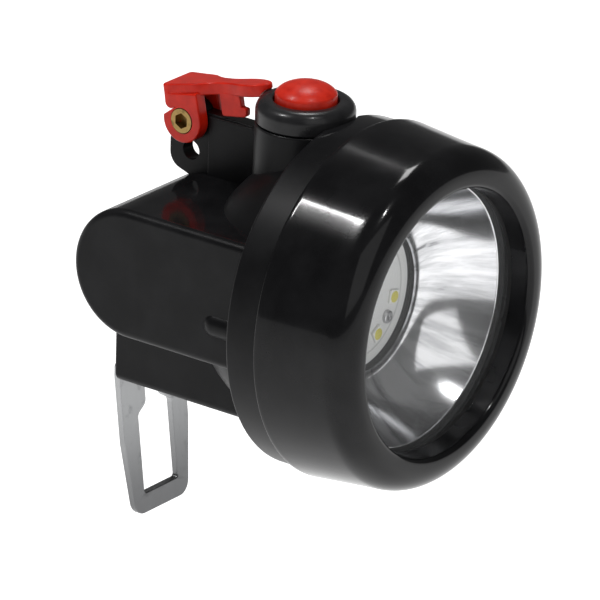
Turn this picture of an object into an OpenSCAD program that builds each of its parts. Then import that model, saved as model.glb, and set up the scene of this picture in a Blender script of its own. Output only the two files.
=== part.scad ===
// Cordless miner's cap lamp: round head, cell housing behind it, switch on top, steel helmet hook below.
// Every sub-part is drawn in the lamp frame: X across, Y from the front to the back, Z up,
// with the optical axis on X = Z = 0 and the joint between bezel and housing at Y = 0.
// place() then moves the lamp so that the origin is where the hook meets the seat on the helmet bracket.

/* [Bezel] */
// Radius of the bezel at its joint with the housing
seam_r = 34; // [32:0.5:37]
// How much narrower the barrel is where its front rounding starts
barrel_draft = 1.4; // [0.5:0.1:2]
// Distance from the joint to the front face
bezel_depth = 19.6; // [19:0.2:24]
// Radius of the rounding between barrel and front face
nose_r = 5.4; // [4:0.2:6]
// Radius of the front opening
mouth_r = 25.4; // [23:0.2:26]
// Radius of the rounded lip around the opening
lip_r = 1.2; // [0.8:0.1:1.6]
// Depth of the lens below the front face
lens_recess = 5; // [4:0.2:7]

/* [Optics] */
// Thickness of the lens
lens_t = 2; // [1.5:0.1:3]
// Thickness of the rubber ring in front of the lens
gasket_t = 0.8; // [0.5:0.1:1.2]
// Radius of the hole in the floor of the reflector
reflector_hole_r = 14; // [12:0.5:15]
// Wall of the reflector
reflector_t = 1.2; // [0.8:0.1:1.6]
// Thickness of the board that carries the light-emitting diodes
led_board_t = 1.6; // [1:0.1:2]
// Side of the square main diode
main_led_side = 4; // [3:0.1:5]
// Side of one square auxiliary diode
aux_led_side = 2.6; // [2:0.1:3]
// Radius of the circle that carries the auxiliary diodes and the board's screws
led_pitch_r = 9.4; // [8.5:0.1:10.5]
// Thickness of the aluminium plate behind the board
sink_t = 2; // [1.5:0.1:2.4]
// Thickness of the driver circuit board
driver_t = 1; // [0.8:0.1:1.2]

/* [Housing] */
// Width of the flange, front to back
flange_w = 6.8; // [5:0.2:9]
// How much smaller the flange is than the bezel, in radius
flange_step = 0.8; // [0.4:0.1:1.5]
// Radius of the round bowl behind the flange
bowl_r = 27; // [26:0.5:29]
// Length of the bowl behind the flange
bowl_len = 25; // [22:0.5:27]
// Wall of the housing
wall = 1.6; // [1.4:0.1:2.2]
// Radius of the rounded edges of the cell housing
edge_r = 1.5; // [1:0.1:2]
// Length of one cell
cell_len = 49.5; // [46:0.5:51]
// Radius of one cell
cell_r = 9; // [8:0.1:9.2]
// Gap between the cells and the walls around them
cell_gap = 0.7; // [0.5:0.1:1]
// Height of the rear cell's axis above the optical axis
cell_z = 3.4; // [2:0.2:5]
// Distance from the joint to the rear cell's axis
rear_cell_y = 34.7; // [34.6:0.1:40]

/* [Switch] */
// Distance from the joint to the switch axis
switch_y = 14.6; // [13:0.2:16]
// Radius of the switch tower
tower_r = 9.3; // [9:0.1:10]
// Height of the tower's top above the optical axis
tower_z = 31.2; // [30:0.2:34]
// Height of the collar on the tower
collar_h = 4.4; // [3.6:0.2:5]
// Radius of the button
button_r = 5.8; // [5:0.1:6.2]
// Height of the button's dome above the collar
dome_h = 3.3; // [2.6:0.1:3.8]
// Travel of the button
button_travel = 1.4; // [1:0.1:1.8]
// Radial clearance of the button in its collar
button_gap = 0.3; // [0.2:0.05:0.4]

/* [Bracket and lever] */
// Thickness of the bracket plate behind the tower
plate_t = 3; // [2.4:0.2:4]
// Distance from the joint to the lever's pivot
pivot_y = 39.8; // [39:0.2:42]
// Height of the lever's pivot above the optical axis
pivot_z = 26.2; // [25.4:0.2:28]
// Radius of the pivot pin
pin_r = 1.5; // [1.2:0.1:1.7]
// Running clearance between the pin and the lever
pin_gap = 0.06; // [0.03:0.01:0.1]
// Radius of the lanyard hole
lanyard_r = 1.9; // [1.5:0.1:2]
// Radius of the lever's ears around the pivot
ear_r = 4.3; // [4:0.1:4.8]
// Thickness of one ear
ear_t = 2.6; // [2.2:0.1:3]
// Gap between the ears and the bracket plate
ear_gap = 0.3; // [0.2:0.05:0.5]
// Thickness of the lever's top plate
lever_t = 2.4; // [2:0.1:2.8]
// Slope of the lever's top plate
lever_tilt = 11; // [9:0.5:12]

/* [Hook] */
// Width of the block that carries the hook
block_w = 23; // [21:0.2:26]
// Distance from the optical axis down to the seat under the block
seat_z = 26; // [23:0.5:28]
// Distance from the joint back to the hook's front face
hook_y = 48.9; // [48.6:0.1:51]
// Thickness of the steel
hook_t = 1.4; // [1.2:0.1:2]
// Forward lean of the hook below the seat
hook_lean = 7; // [4:0.5:9]
// Length of the hook below the seat
hook_len = 28.4; // [24:0.2:32]
// Width of the hook at its shoulders
hook_w = 19.6; // [18:0.2:21]
// Width of the hook at its foot
hook_foot_w = 16; // [14:0.2:17]
// Width of the hook's tang behind the block
tang_w = 15.6; // [15:0.2:17]
// Width of the window in the hook
window_w = 10.2; // [9:0.2:11]
// Width of the bar under the window
foot_bar = 3.9; // [3:0.1:4.6]

/* [Hidden] */

$fn = 96;
tiny = 0.01;
fit = 0.1;

// bezel
barrel_r = seam_r - barrel_draft;
front_y = -bezel_depth;
lens_front = front_y + lens_recess;
lens_back = lens_front + lens_t;
seat_front = lens_front - gasket_t;
lens_r = mouth_r + 2;
lens_pocket_r = lens_r + 0.3;
mouth_back_r = mouth_r - 0.5;
neck_r = seam_r - 3.2;
neck_len = 7;
neck_wall = 1.8;
seal_w = 1.2;
seal_y = -neck_len - seal_w;
chamfer = 0.5;

// optics
reflector_rim_r = lens_r - 2.6;
reflector_front = lens_back + fit;
reflector_floor = -1.2;
board_y = reflector_floor + reflector_t + fit;
board_r = reflector_hole_r + 3;
sink_y = board_y + led_board_t;
sink_r = neck_r - neck_wall - fit;
driver_y = sink_y + sink_t + 1.5;
driver_r = 24;
led_t = 0.7;
screw_r = 0.8;
screw_head_r = 1.3;
screw_head_t = 0.7;
board_turn = 38.5;
aux_led_turn = 24;

// housing
flange_r = seam_r - flange_step;
half_w = cell_len / 2 + cell_gap / 2 + wall;
drum_r = cell_r + cell_gap + wall + 1.3;
drum_top = cell_z + drum_r;
drum_bottom = cell_z - drum_r;
inner_r = drum_r - wall;
front_cell_y = rear_cell_y - 2 * cell_r - cell_gap;
bowl_in = bowl_r - wall;
rib_r = 2.7;
rib_end = 17.3;
rib_z = -1.2;
rib_out = 0.9;
seat_corner_r = 0.6;

// switch
collar_top = tower_z + collar_h;
tower_in_r = tower_r - 1.8;
button_hole_r = button_r + button_gap;
skirt_r = button_r + 0.9;
skirt_h = 1;
skirt_z = collar_top - 2.9;
switch_body_r = 4.2;
switch_body_z = tower_z - 9;
body_h = 4.4;
stem_r = 1.6;
stem_top = skirt_z - button_travel - 0.1;
seal_z = tower_z - 1.5;
spring_r = 2.9;
spring_wire = 0.35;
spring_turns = 3;

// bracket and lever
thick_t = plate_t + 1.4;
step_y = pivot_y - ear_r - 0.3;
plate_back = 44.6;
plate_top = pivot_z + 1.4;
plate_knuckle_r = ear_r - 0.8;
lanyard_y = pivot_y - 0.2;
lanyard_z = pivot_z - 6.5;
plate_corner_r = 3.4;
ear_in = plate_t / 2 + ear_gap;
ear_out = ear_in + ear_t;
lever_lift = 4.6;
lever_back = 3.65;
head_r = 2.35;
head_t = 1.1;
tab_t = 1.4;
tab_x = 1.05;
tab_from = 12.4;

// hook
tang_h = 14;
shoulder_z = 2.6;
window_top = 2;
lug_h = 8.6;
lug_w = 2.6;
hook_screw_r = 1.5;
hook_screw_z = 9;
foot_corner = 3;
straight_h = 13.5;

module place() translate([0, -hook_y, seat_z]) children();

// turns a profile drawn as [radius, distance along Y] around the optical axis
module turned() rotate([-90, 0, 0]) rotate_extrude() children();

module ring_y(outer, inner, y0, y1) turned() translate([inner, y0]) square([outer - inner, y1 - y0]);

module disc_y(r, y0, y1) translate([0, y0, 0]) rotate([-90, 0, 0]) cylinder(r = r, h = y1 - y0);

// extrudes a profile drawn as [Y, Z] across the lamp, from x0 to x1
module across(x0, x1) translate([x0, 0, 0]) rotate([90, 0, 90]) linear_extrude(x1 - x0) children();

module rod_x(r, x0, x1, y, z) translate([x0, y, z]) rotate([0, 90, 0]) cylinder(r = r, h = x1 - x0);

// cuts a rounding of radius r into the corner at [x, y] that points along the signs in dir
module round_off(x, y, r, dir) translate([x - dir[0] * r, y - dir[1] * r]) difference() {
    translate([dir[0] > 0 ? 0 : -r - 1, dir[1] > 0 ? 0 : -r - 1]) square(r + 1);
    circle(r = r);
}

module bezel() color([0.02, 0.02, 0.022]) place() turned() difference() {
    polygon([[seam_r - chamfer, -tiny], [seam_r, -chamfer], [barrel_r, front_y + nose_r], [barrel_r, front_y],
        [mouth_r, front_y], [mouth_r, front_y + lip_r], [mouth_back_r, seat_front], [lens_pocket_r, seat_front],
        [lens_pocket_r, seal_y], [neck_r + fit, seal_y], [neck_r + fit, -tiny]]);
    round_off(barrel_r, front_y, nose_r, [1, -1]);
    round_off(mouth_r, front_y, lip_r, [-1, -1]);
}

module bezel_seal() color([0.05, 0.05, 0.05]) place()
    ring_y(neck_r, neck_r - neck_wall, seal_y, -neck_len);

module lens() color([0.9, 0.93, 0.95, 0.3]) place() disc_y(lens_r, lens_front, lens_back);

module lens_gasket() color([0.06, 0.06, 0.06]) place() ring_y(lens_r, mouth_back_r + 0.2, seat_front, lens_front);

// the reflector's bowl follows a parabola from its floor (t = 0) to its rim (t = 1)
function bowl_at(t) = [reflector_hole_r + (reflector_rim_r - reflector_hole_r) * t,
    reflector_floor - (reflector_floor - reflector_front) * t * t];

module reflector() color([0.85, 0.86, 0.88]) place() turned() {
    steps = 12;
    inner = [for (i = [0:steps]) bowl_at(i / steps)];
    outer = [for (i = [steps:-1:0]) bowl_at(i / steps) + [reflector_t, reflector_t * (1 - i / steps)]];
    polygon(concat(inner, [[lens_r - 0.4, reflector_front], [lens_r - 0.4, reflector_front + reflector_t],
        [reflector_rim_r + reflector_t, reflector_front + reflector_t]], outer));
}

// places a copy at each of the board's two screws
module at_board_screws() for (half = [0, 180]) rotate([0, board_turn + half, 0]) translate([led_pitch_r, 0, 0]) children();

module led_board() color([0.92, 0.92, 0.9]) place() difference() {
    disc_y(board_r, board_y, sink_y);
    at_board_screws() disc_y(screw_r + fit, board_y - 1, sink_y + 1);
}

module square_led(side) translate([-side / 2, board_y - led_t, -side / 2]) cube([side, led_t, side]);

module main_led() color([0.95, 0.8, 0.2]) place() square_led(main_led_side);

module aux_leds() color([0.95, 0.85, 0.35]) place() for (turn = [-aux_led_turn, aux_led_turn])
    rotate([0, board_turn + turn, 0]) translate([led_pitch_r, 0, 0]) square_led(aux_led_side);

module board_screws() color([0.7, 0.7, 0.72]) place() at_board_screws() {
    disc_y(screw_head_r, board_y - screw_head_t, board_y);
    disc_y(screw_r, board_y - screw_head_t, sink_y + sink_t);
}

module heat_sink() color([0.75, 0.76, 0.78]) place() difference() {
    disc_y(sink_r, sink_y, sink_y + sink_t);
    at_board_screws() disc_y(screw_r, sink_y - 1, driver_y);
}

module driver_board() color([0.1, 0.4, 0.2]) place() disc_y(driver_r - 1, driver_y, driver_y + driver_t);

module driver_components() color([0.12, 0.12, 0.13]) place() {
    translate([-11, driver_y - 1.2, 2]) cube([6, 1.2, 5]);
    translate([5, driver_y - 1.3, 4]) cube([5, 1.3, 5]);
    translate([6, 0, -9]) disc_y(2.6, driver_y - 1.4, driver_y);
    translate([-9, driver_y - 1.1, -9]) cube([4, 1.1, 3]);
}

// side view of the cell housing, grown or shrunk by one distance all round
module drum_profile(grow) {
    translate([rear_cell_y, cell_z]) circle(r = drum_r + grow);
    translate([0, drum_bottom - grow]) square([rear_cell_y, 2 * (drum_r + grow)]);
}

module drum() {
    across(-half_w + edge_r, half_w - edge_r) drum_profile(0);
    across(-half_w, half_w) drum_profile(-edge_r);
    for (side = [-1, 1]) translate([side * (half_w - edge_r), 0, 0]) {
        for (z = [drum_top - edge_r, drum_bottom + edge_r])
            translate([0, 0, z]) disc_y(edge_r, 0, rear_cell_y);
        translate([0, rear_cell_y, cell_z]) rotate([90, 0, 90]) rotate([0, 0, -90])
            rotate_extrude(angle = 180) translate([drum_r - edge_r, 0]) circle(r = edge_r, $fn = 48);
    }
}

module bowl(r, len, y0) translate([0, y0, 0]) rotate([-90, 0, 0]) rotate_extrude()
    intersection() {
        scale([r / 100, len / 100]) circle(r = 100);
        square([r, len]);
    }

module bracket_plate() {
    across(-plate_t / 2, plate_t / 2) {
        translate([switch_y, drum_top - 4]) square([plate_back - plate_corner_r - switch_y, lanyard_z + 3 - drum_top]);
        translate([plate_back - plate_corner_r, lanyard_z - 1]) circle(r = plate_corner_r);
        translate([switch_y, lanyard_z - 1]) square([plate_back - switch_y, pivot_z - ear_r - 0.3 - lanyard_z + 1]);
        translate([pivot_y, pivot_z]) circle(r = plate_knuckle_r);
        translate([switch_y, lanyard_z]) square([pivot_y - switch_y, plate_top - lanyard_z]);
    }
    across(-thick_t / 2, thick_t / 2) translate([switch_y, drum_top - 4])
        square([step_y - switch_y, plate_top - drum_top + 4]);
}

module tower() translate([0, switch_y, 0]) cylinder(r1 = tower_r + 0.3, r2 = tower_r, h = tower_z - fit);

module hook_block() intersection() {
    rotate([90, 0, 0]) linear_extrude(4 * hook_y, center = true) {
        translate([-block_w / 2, -seat_z + edge_r]) square([block_w, seat_z + 1.5]);
        translate([-block_w / 2 + edge_r, -seat_z]) square([block_w - 2 * edge_r, seat_z]);
        for (side = [-1, 1]) translate([side * (block_w / 2 - edge_r), -seat_z + edge_r]) circle(r = edge_r);
    }
    across(-block_w, block_w) {
        translate([1, -seat_z + seat_corner_r]) square([hook_y - 1, seat_z + 1 - seat_corner_r]);
        translate([1, -seat_z - 1]) square([hook_y - 1 - seat_corner_r, seat_z]);
        translate([hook_y - seat_corner_r, -seat_z + seat_corner_r]) circle(r = seat_corner_r);
    }
}

module rear_housing() color([0.03, 0.03, 0.032]) place() difference() {
    union() {
        turned() {
            polygon([[0, tiny], [flange_r - chamfer, tiny], [flange_r, chamfer],
                [flange_r, flange_w - chamfer], [flange_r - chamfer, flange_w], [0, flange_w]]);
            translate([0, -neck_len]) square([neck_r, neck_len + 1]);
        }
        bowl(bowl_r, bowl_len, flange_w);
        drum();
        tower();
        bracket_plate();
        hook_block();
        for (side = [-1, 1]) translate([side * (half_w + rib_out - rib_r), 0, rib_z]) {
            disc_y(rib_r, 1, rib_end - rib_r);
            translate([0, rib_end - rib_r, 0]) sphere(r = rib_r);
        }
    }
    disc_y(neck_r - neck_wall, -neck_len - 1, flange_w - wall);
    bowl(bowl_in, bowl_len, flange_w - wall);
    across(-half_w + wall, half_w - wall) {
        translate([rear_cell_y, cell_z]) circle(r = inner_r);
        translate([flange_w / 2, drum_bottom + wall]) square([rear_cell_y - flange_w / 2, 2 * inner_r]);
    }
    translate([0, switch_y, drum_top - wall]) cylinder(r = tower_in_r, h = tower_z);
    translate([-block_w / 2 + wall + 0.4, flange_w, -seat_z + wall])
        cube([block_w - 2 * wall - 0.8, hook_y - flange_w - 5, seat_z]);
    translate([0, switch_y, tower_z - fit]) cylinder(r = tower_r + 0.3, h = collar_h);
    rod_x(lanyard_r, -half_w, half_w, lanyard_y, lanyard_z);
    rod_x(pin_r + 0.02, -half_w, half_w, pivot_y, pivot_z);
    for (side = [-1, 1]) translate([side * tang_w / 4, 0, -seat_z + hook_screw_z])
        disc_y(hook_screw_r - 0.2, hook_y - 4.4, hook_y + 1);
}

module cell_front() color([0.1, 0.35, 0.7]) place() rod_x(cell_r, -cell_len / 2, cell_len / 2, front_cell_y, cell_z);

module cell_rear() color([0.1, 0.35, 0.7]) place() rod_x(cell_r, -cell_len / 2, cell_len / 2, rear_cell_y, cell_z);

module cell_cradle() color([0.2, 0.2, 0.22]) place() difference() {
    translate([-cell_len / 3, front_cell_y, drum_bottom + wall + fit])
        cube([2 * cell_len / 3, rear_cell_y - front_cell_y, cell_r]);
    for (y = [front_cell_y, rear_cell_y]) rod_x(cell_r + fit, -cell_len, cell_len, y, cell_z);
}

module cell_tabs() color([0.75, 0.75, 0.72]) place() for (side = [-1, 1])
    translate([side * (cell_len / 2 + 0.1) - 0.08, front_cell_y - 3, cell_z - 2.5])
        cube([0.16, rear_cell_y - front_cell_y + 6, 5]);

module battery_leads() color([0.75, 0.1, 0.08]) place() for (side = [-1, 1])
    translate([side * 12, 0, cell_z + cell_r + 0.9]) disc_y(0.6, driver_y + driver_t, front_cell_y + 6);

module switch_body() color([0.15, 0.15, 0.16]) place() translate([0, switch_y, switch_body_z]) {
    cylinder(r = switch_body_r, h = body_h);
    cylinder(r = stem_r, h = stem_top - switch_body_z);
    translate([0, 0, -1.2]) difference() {
        cylinder(r = tower_in_r - fit, h = 1.2 + tiny);
        for (side = [-1, 1]) translate([side * 5.6, 0, -1]) cylinder(r = 0.8, h = 4);
    }
}

module switch_seal() color([0.1, 0.1, 0.1]) place() translate([0, switch_y, seal_z]) difference() {
    cylinder(r = tower_in_r - fit, h = 1.1);
    translate([0, 0, -1]) cylinder(r = stem_r + 2.2, h = 4);
}

// a point on the surface of the spring's wire, at a turn of the coil and an angle round the wire
function coil_at(turn, around, lift) =
    let (r = spring_r + spring_wire * cos(around))
    [r * cos(turn), r * sin(turn), lift * turn / (360 * spring_turns) + spring_wire * sin(around)];

module button_spring() color([0.7, 0.72, 0.75]) place()
    translate([0, switch_y, switch_body_z + body_h + spring_wire + fit]) {
        lift = skirt_z - switch_body_z - body_h - 2 * (spring_wire + fit);
        sides = 8;
        steps = 24 * spring_turns;
        points = [for (i = [0:steps]) for (k = [0:sides - 1])
            coil_at(15 * i, 360 * k / sides, lift)];
        walls = [for (i = [0:steps - 1]) for (k = [0:sides - 1]) let (next = (k + 1) % sides)
            [i * sides + k, i * sides + next, (i + 1) * sides + next, (i + 1) * sides + k]];
        start = [for (k = [sides - 1:-1:0]) k];
        end = [for (k = [0:sides - 1]) steps * sides + k];
        polyhedron(points, concat([start], walls, [end]));
    }

module button() color([0.78, 0.13, 0.07]) place() translate([0, switch_y, 0]) {
    sag = 1.1;
    dome_r = (button_r * button_r + (dome_h - sag) * (dome_h - sag)) / (2 * (dome_h - sag));
    intersection() {
        translate([0, 0, collar_top + dome_h - dome_r]) sphere(r = dome_r, $fn = 160);
        translate([0, 0, skirt_z]) cylinder(r = button_r, h = collar_h + dome_h + 4);
    }
    translate([0, 0, skirt_z]) cylinder(r = skirt_r, h = skirt_h);
}

// the collar's round outer shape, grown by one distance all round
module collar_shape(grow) rotate_extrude() {
    round_r = collar_h / 2;
    translate([0, tower_z]) square([tower_r + grow, round_r]);
    translate([0, tower_z]) square([tower_r - round_r, collar_h + grow]);
    translate([tower_r - round_r, tower_z + round_r]) circle(r = round_r + grow);
}

module switch_collar() color([0.04, 0.04, 0.042]) place() translate([0, switch_y, 0]) difference() {
    collar_shape(0);
    translate([0, 0, tower_z - collar_h]) cylinder(r = 2 * tower_r, h = collar_h);
    translate([0, 0, tower_z - 1]) cylinder(r = button_hole_r, h = 2 * collar_h);
    translate([0, 0, tower_z - 1]) cylinder(r = skirt_r + button_gap, h = skirt_z + skirt_h + 1.2 - tower_z);
}

// half outline of the lever's top plate: distance from its back edge and half width, from back to tip
lever_side = [[0, 3.6], [0.3, 4.2], [0.9, 4.4], [3.8, 3.9], [7, 3.4], [7.9, 3.1], [8.7, 2.6], [9.8, 2.1],
    [11.2, 1.8], [12.8, 1.65], [14.2, 1.75], [15.5, 2.05], [16.8, 2.3], [18, 2.35], [19.2, 2.25],
    [20.4, 1.9], [21.4, 1.4], [22.1, 0.8], [22.5, 0.2]];

module lever_plate() {
    near = [for (p = lever_side) [p[1], lever_back - p[0]]];
    far = [for (i = [len(lever_side) - 1:-1:0]) [-lever_side[i][1], lever_back - lever_side[i][0]]];
    difference() {
        translate([0, pivot_y, pivot_z]) rotate([-lever_tilt, 0, 0]) translate([0, 0, lever_lift])
            linear_extrude(lever_t) polygon(concat(near, far));
        translate([0, switch_y, 0]) collar_shape(0.3);
    }
}

// one half of the barbed tab that hangs under the lever
module lever_tab() translate([-tab_t / 2, 0, 0]) {
    cube([tab_t, 4.6, 4.4]);
    translate([0, -1.2, 0]) cube([tab_t, 1.3, 1.6]);
}

module latch_lever() color([0.78, 0.13, 0.07]) place() difference() {
    union() {
        lever_plate();
        for (side = [-1, 1]) {
            x0 = side > 0 ? ear_in : -ear_out;
            rod_x(ear_r, x0, x0 + ear_t, pivot_y, pivot_z);
            translate([x0, pivot_y, pivot_z]) rotate([-lever_tilt, 0, 0])
                translate([0, -ear_r + 0.1, 0]) cube([ear_t, 2 * ear_r - 1, lever_lift + 0.4]);
        }
        translate([-tab_x, pivot_y, pivot_z]) rotate([-lever_tilt, 0, 0])
            translate([0, -tab_from, lever_lift - 4.1]) lever_tab();
    }
    rod_x(pin_r + pin_gap, -half_w, half_w, pivot_y, pivot_z);
    rod_x(head_r + 0.15, -half_w, -ear_out + head_t + fit, pivot_y, pivot_z);
    rod_x(head_r + 0.15, ear_out - head_t - fit, half_w, pivot_y, pivot_z);
}

module pivot_pin() color([0.72, 0.55, 0.25]) place() difference() {
    union() {
        rod_x(pin_r, -ear_out, ear_out - head_t, pivot_y, pivot_z);
        rod_x(head_r, -ear_out - 0.1, -ear_out + head_t, pivot_y, pivot_z);
    }
    translate([-ear_out - 1, pivot_y, pivot_z]) rotate([0, 90, 0]) cylinder(r = 1.55, h = 2.6, $fn = 6);
}

module pivot_nut() color([0.72, 0.55, 0.25]) place() difference() {
    rod_x(head_r, ear_out - head_t, ear_out, pivot_y, pivot_z);
    translate([ear_out - 0.5, pivot_y - 0.3, pivot_z - 3]) cube([2, 0.6, 6]);
}

// front view of the hook: tang, shoulders, tapered loop with a rounded foot, and the window
module hook_outline() difference() {
    polygon([[-tang_w / 2, tang_h], [tang_w / 2, tang_h], [tang_w / 2, shoulder_z], [hook_w / 2, shoulder_z],
        [hook_w / 2, -straight_h], [hook_foot_w / 2, -hook_len + foot_corner], [hook_foot_w / 2, -hook_len],
        [-hook_foot_w / 2, -hook_len], [-hook_foot_w / 2, -hook_len + foot_corner], [-hook_w / 2, -straight_h],
        [-hook_w / 2, shoulder_z], [-tang_w / 2, shoulder_z]]);
    for (side = [-1, 1]) round_off(side * hook_foot_w / 2, -hook_len, foot_corner, [side, -1]);
    translate([-window_w / 2, -hook_len + foot_bar]) square([window_w, hook_len - foot_bar - lug_h]);
    translate([-window_w / 2 + lug_w, -lug_h - 1]) square([window_w - 2 * lug_w, lug_h - window_top + 1]);
}

// side view of the hook: upright behind the block, then leaning forward below the seat
module hook_side() {
    drop = hook_len + 1;
    shift = drop * tan(hook_lean);
    polygon([[0, tang_h], [0, 0], [-shift, -drop], [hook_t / cos(hook_lean) - shift, -drop],
        [hook_t, -hook_t * tan(hook_lean / 2)], [hook_t, tang_h]]);
}

module hook() color([0.55, 0.56, 0.57]) place() translate([0, hook_y, -seat_z]) difference() {
    intersection() {
        across(-hook_w, hook_w) hook_side();
        rotate([90, 0, 0]) linear_extrude(4 * hook_len, center = true) hook_outline();
    }
    for (side = [-1, 1]) translate([side * tang_w / 4, 0, hook_screw_z]) disc_y(hook_screw_r + fit, -1, hook_t + 1);
}

module hook_screws() color([0.6, 0.6, 0.62]) place() for (side = [-1, 1])
    translate([side * tang_w / 4, 0, -seat_z + hook_screw_z]) {
        disc_y(hook_screw_r - 0.25, hook_y - 4.2, hook_y + hook_t + 0.2);
        difference() {
            disc_y(hook_screw_r * 1.9, hook_y + hook_t, hook_y + hook_t + 1.3);
            translate([-0.3, hook_y + hook_t + 0.7, -3]) cube([0.6, 2, 6]);
            translate([-3, hook_y + hook_t + 0.7, -0.3]) cube([6, 2, 0.6]);
        }
    }

bezel();
bezel_seal();
lens();
lens_gasket();
reflector();
led_board();
main_led();
aux_leds();
board_screws();
heat_sink();
driver_board();
driver_components();
rear_housing();
cell_front();
cell_rear();
cell_cradle();
cell_tabs();
battery_leads();
switch_body();
switch_seal();
button_spring();
button();
switch_collar();
latch_lever();
pivot_pin();
pivot_nut();
hook();
hook_screws();
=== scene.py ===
import math

import bmesh
import bpy
from mathutils import Matrix, Vector


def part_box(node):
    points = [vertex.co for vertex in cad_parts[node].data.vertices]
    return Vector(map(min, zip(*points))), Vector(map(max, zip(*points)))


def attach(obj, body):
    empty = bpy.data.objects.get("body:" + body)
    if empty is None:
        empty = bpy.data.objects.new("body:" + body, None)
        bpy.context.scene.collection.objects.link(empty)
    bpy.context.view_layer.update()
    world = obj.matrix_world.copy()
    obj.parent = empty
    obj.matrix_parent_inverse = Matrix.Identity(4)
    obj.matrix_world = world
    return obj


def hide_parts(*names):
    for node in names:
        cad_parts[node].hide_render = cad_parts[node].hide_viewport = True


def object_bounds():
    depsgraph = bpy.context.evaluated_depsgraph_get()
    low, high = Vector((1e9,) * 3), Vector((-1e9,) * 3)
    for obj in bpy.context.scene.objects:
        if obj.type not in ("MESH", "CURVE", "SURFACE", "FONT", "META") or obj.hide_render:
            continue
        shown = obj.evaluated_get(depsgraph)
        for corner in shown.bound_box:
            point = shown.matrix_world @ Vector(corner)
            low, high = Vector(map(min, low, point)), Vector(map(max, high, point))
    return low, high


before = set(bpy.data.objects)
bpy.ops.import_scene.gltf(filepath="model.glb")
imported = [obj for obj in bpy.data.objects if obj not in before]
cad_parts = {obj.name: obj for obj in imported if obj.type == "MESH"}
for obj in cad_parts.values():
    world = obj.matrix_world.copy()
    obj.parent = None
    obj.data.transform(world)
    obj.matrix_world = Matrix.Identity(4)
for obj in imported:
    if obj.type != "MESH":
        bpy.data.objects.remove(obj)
cadLow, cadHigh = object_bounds()
mm = 0.001
scene = bpy.context.scene

# Everything below is drawn in millimetres from the lamp's own centre: the optical axis, at the bezel's joint.
bezelLow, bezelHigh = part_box("bezel")
collarLow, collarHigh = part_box("switch_collar")
lampCentre = Vector((0, bezelHigh.y, (bezelLow.z + bezelHigh.z) / 2))
seamRadius = (bezelHigh.x - bezelLow.x) / 2 / mm
frontY = (bezelLow.y - bezelHigh.y) / mm
switchY = ((collarLow.y + collarHigh.y) / 2 - bezelHigh.y) / mm
print("frame loaded")


view = {"azimuth": -53.8, "elevation": 22, "roll": 1.76, "distance": 1.215, "lens": 397,
        "aim": (-0.0118, -0.0003)}


def aimCamera():
    turn, tilt, roll = (math.radians(view[k]) for k in ("azimuth", "elevation", "roll"))
    back = Vector((math.sin(turn) * math.cos(tilt), -math.cos(turn) * math.cos(tilt), math.sin(tilt)))
    level = Vector((math.cos(turn), math.sin(turn), 0))
    raised = back.cross(level)
    right = math.cos(roll) * level + math.sin(roll) * raised
    up = math.cos(roll) * raised - math.sin(roll) * level
    data = bpy.data.cameras.new("camera")
    data.lens = view["lens"]
    data.clip_start = 0.05
    camera = bpy.data.objects.new("camera", data)
    scene.collection.objects.link(camera)
    place = lampCentre + back * view["distance"] + right * view["aim"][0] + up * view["aim"][1]
    camera.matrix_world = Matrix.Translation(place) @ Matrix((right, up, back)).transposed().to_4x4()
    scene.camera = camera


aimCamera()
print("camera placed")


# One value or colour that runs through a material
class Wire:
    def __init__(self, paint, socket):
        self.paint, self.socket = paint, socket

    def maths(self, operation, *values):
        return self.paint.node("ShaderNodeMath", {"operation": operation}, dict(enumerate(values)))

    def __add__(self, other):
        return self.maths("ADD", self, other)

    def __sub__(self, other):
        return self.maths("SUBTRACT", self, other)

    def __rsub__(self, other):
        return self.maths("SUBTRACT", other, self)

    def __mul__(self, other):
        return self.maths("MULTIPLY", self, other)

    def __truediv__(self, other):
        return self.maths("DIVIDE", self, other)

    def __rtruediv__(self, other):
        return self.maths("DIVIDE", other, self)

    __radd__ = __add__
    __rmul__ = __mul__

    # 0 below low, 1 above high, smooth between them. With low above high it falls instead
    def over(self, low, high):
        settings = {"interpolation_type": "SMOOTHSTEP"}
        if low > high:
            return 1 - self.over(high, low)
        ends = {"Value": self, "From Min": low, "From Max": high}
        return self.paint.node("ShaderNodeMapRange", settings, ends)


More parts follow.
